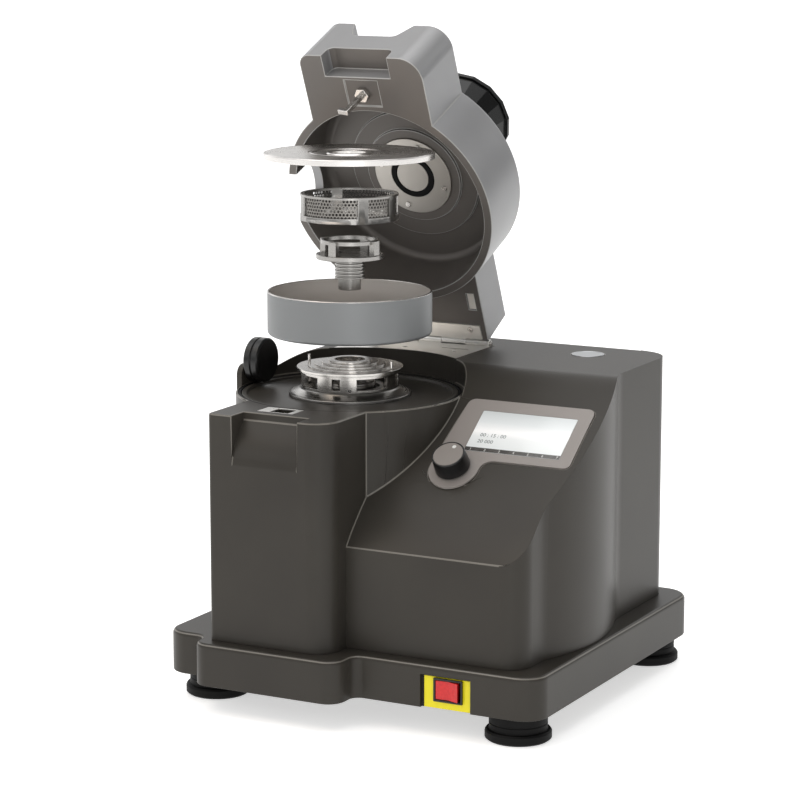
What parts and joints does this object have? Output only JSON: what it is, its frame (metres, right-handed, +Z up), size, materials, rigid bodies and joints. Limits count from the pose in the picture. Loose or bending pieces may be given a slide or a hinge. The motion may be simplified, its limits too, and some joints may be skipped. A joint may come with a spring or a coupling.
{
  "type": "rotor mill",
  "caption": "Bench-top laboratory rotor mill with a hinged lid, lifted-out pan, rotor, sieve ring and cover, a touch display, a knob and a mains switch.",
  "frame": {"origin": "centre of the bounding box at rest, on the surface that the feet stand on", "axes": "+Z up; +X to the right of someone facing the control panel; +Y towards the rear, where the lid is hinged"},
  "size_m": [0.4112, 0.469, 0.6647],
  "materials": {
    "housing_paint": "fine satin",
    "lid_paint": "satin metallic grey",
    "rubber": "matt",
    "black_plastic": "satin",
    "steel": "turned and polished",
    "aluminium": "satin anodised",
    "grey_foil": "fine matt",
    "display_glass": "gloss",
    "knob_grey": "satin",
    "yellow_plate": "matt",
    "red_switch": "gloss",
    "motor_grey": "satin",
    "board_green": "satin"
  },
  "bodies": {
    "housing": {"base_plinth": "housing_paint", "main_housing": "housing_paint", "foot_front_left": "rubber", "foot_front_right": "rubber", "foot_rear_left": "rubber", "foot_rear_right": "rubber", "deck_seal_ring": "rubber", "chamber_floor": "housing_paint", "lock_strike_plate": "steel", "port_ear": "housing_paint", "side_port_plug": "black_plastic", "hub_base_flange": "steel", "hub_cage": "steel", "hub_top_plate": "steel", "sieve_pin_left": "steel", "sieve_pin_right": "steel", "bearing_carrier": "steel", "shaft_bearing": "steel", "motor_plate": "aluminium", "motor": "motor_grey", "hinge_lower_leaf": "steel", "hinge_pin": "steel", "hinge_lower_screw_1": "steel", "hinge_lower_screw_2": "steel", "hinge_lower_screw_3": "steel", "panel_overlay": "grey_foil", "display_screen": "display_glass", "switch_plate": "yellow_plate", "switch_bezel": "black_plastic", "top_cap": "aluminium", "mains_inlet": "black_plastic", "control_board": "board_green"},
    "lid": {"lid_shell": "lid_paint", "lid_inner_plate": "steel", "lid_feed_seal": "rubber", "feed_inlet_disc": "aluminium", "plate_screw_1": "steel", "plate_screw_2": "steel", "plate_screw_3": "steel", "plate_screw_4": "steel", "latch_boss": "steel", "latch_bolt": "steel", "lid_sensor_plate": "steel", "hinge_upper_leaf": "steel", "hinge_upper_screw_1": "steel", "hinge_upper_screw_2": "steel", "hinge_upper_screw_3": "steel"},
    "funnel": {"feed_funnel": "black_plastic"},
    "pan": {"collecting_pan": "aluminium"},
    "shaft": {"drive_shaft": "steel"},
    "rotor": {"rotor": "steel"},
    "sieve": {"sieve_frame": "steel", "sieve_screen": "steel"},
    "cover": {"pan_cover": "steel"},
    "spindle": {"knob_spindle": "steel"},
    "knob": {"control_knob": "black_plastic", "knob_cap": "knob_grey"},
    "rocker": {"power_rocker": "red_switch"}
  },
  "joints": [
    {"name": "lid_hinge", "type": "hinge", "parent": "housing", "child": "lid", "pos_m": [-0.0776, 0.13447, 0.3265], "axis": [-1, 0, 0], "range_deg": [-66.5, 0]},
    {"name": "funnel_lift", "type": "slide", "parent": "lid", "child": "funnel", "axis": [0, 0.9171, 0.3987], "range_m": [0, 0.06]},
    {"name": "pan_lift", "type": "slide", "parent": "housing", "child": "pan", "axis": [0, 0, 1], "range_m": [-0.051, 0]},
    {"name": "drive_spin", "type": "hinge", "parent": "housing", "child": "shaft", "pos_m": [-0.0776, -0.04653, 0.3], "axis": [0, 0, 1], "continuous": true},
    {"name": "rotor_lift", "type": "slide", "parent": "shaft", "child": "rotor", "axis": [0, 0, 1], "range_m": [-0.1026, 0]},
    {"name": "sieve_lift", "type": "slide", "parent": "housing", "child": "sieve", "axis": [0, 0, 1], "range_m": [-0.1491, 0]},
    {"name": "cover_lift", "type": "slide", "parent": "housing", "child": "cover", "axis": [0, 0, 1], "range_m": [-0.1864, 0]},
    {"name": "knob_press", "type": "slide", "parent": "housing", "child": "spindle", "axis": [0, 0.5835, -0.8121], "range_m": [0, 0.001], "stiffness_N_per_m": 1500, "springref_m": -0.001},
    {"name": "knob_turn", "type": "hinge", "parent": "spindle", "child": "knob", "pos_m": [0.0694, -0.1042, 0.24441], "axis": [0, -0.5835, 0.8121], "continuous": true},
    {"name": "power_switch", "type": "hinge", "parent": "housing", "child": "rocker", "pos_m": [0.1109, -0.19254, 0.0472], "axis": [0, 0, 1], "range_deg": [0, 10]}
  ],
  "couplings": [
    {"joint": "lid_hinge", "follows": "cover_lift", "rad_per_m": 4.494},
    {"joint": "pan_lift", "follows": "cover_lift", "ratio": 0.2736},
    {"joint": "rotor_lift", "follows": "cover_lift", "ratio": 0.5504},
    {"joint": "sieve_lift", "follows": "cover_lift", "ratio": 0.7998}
  ]
}
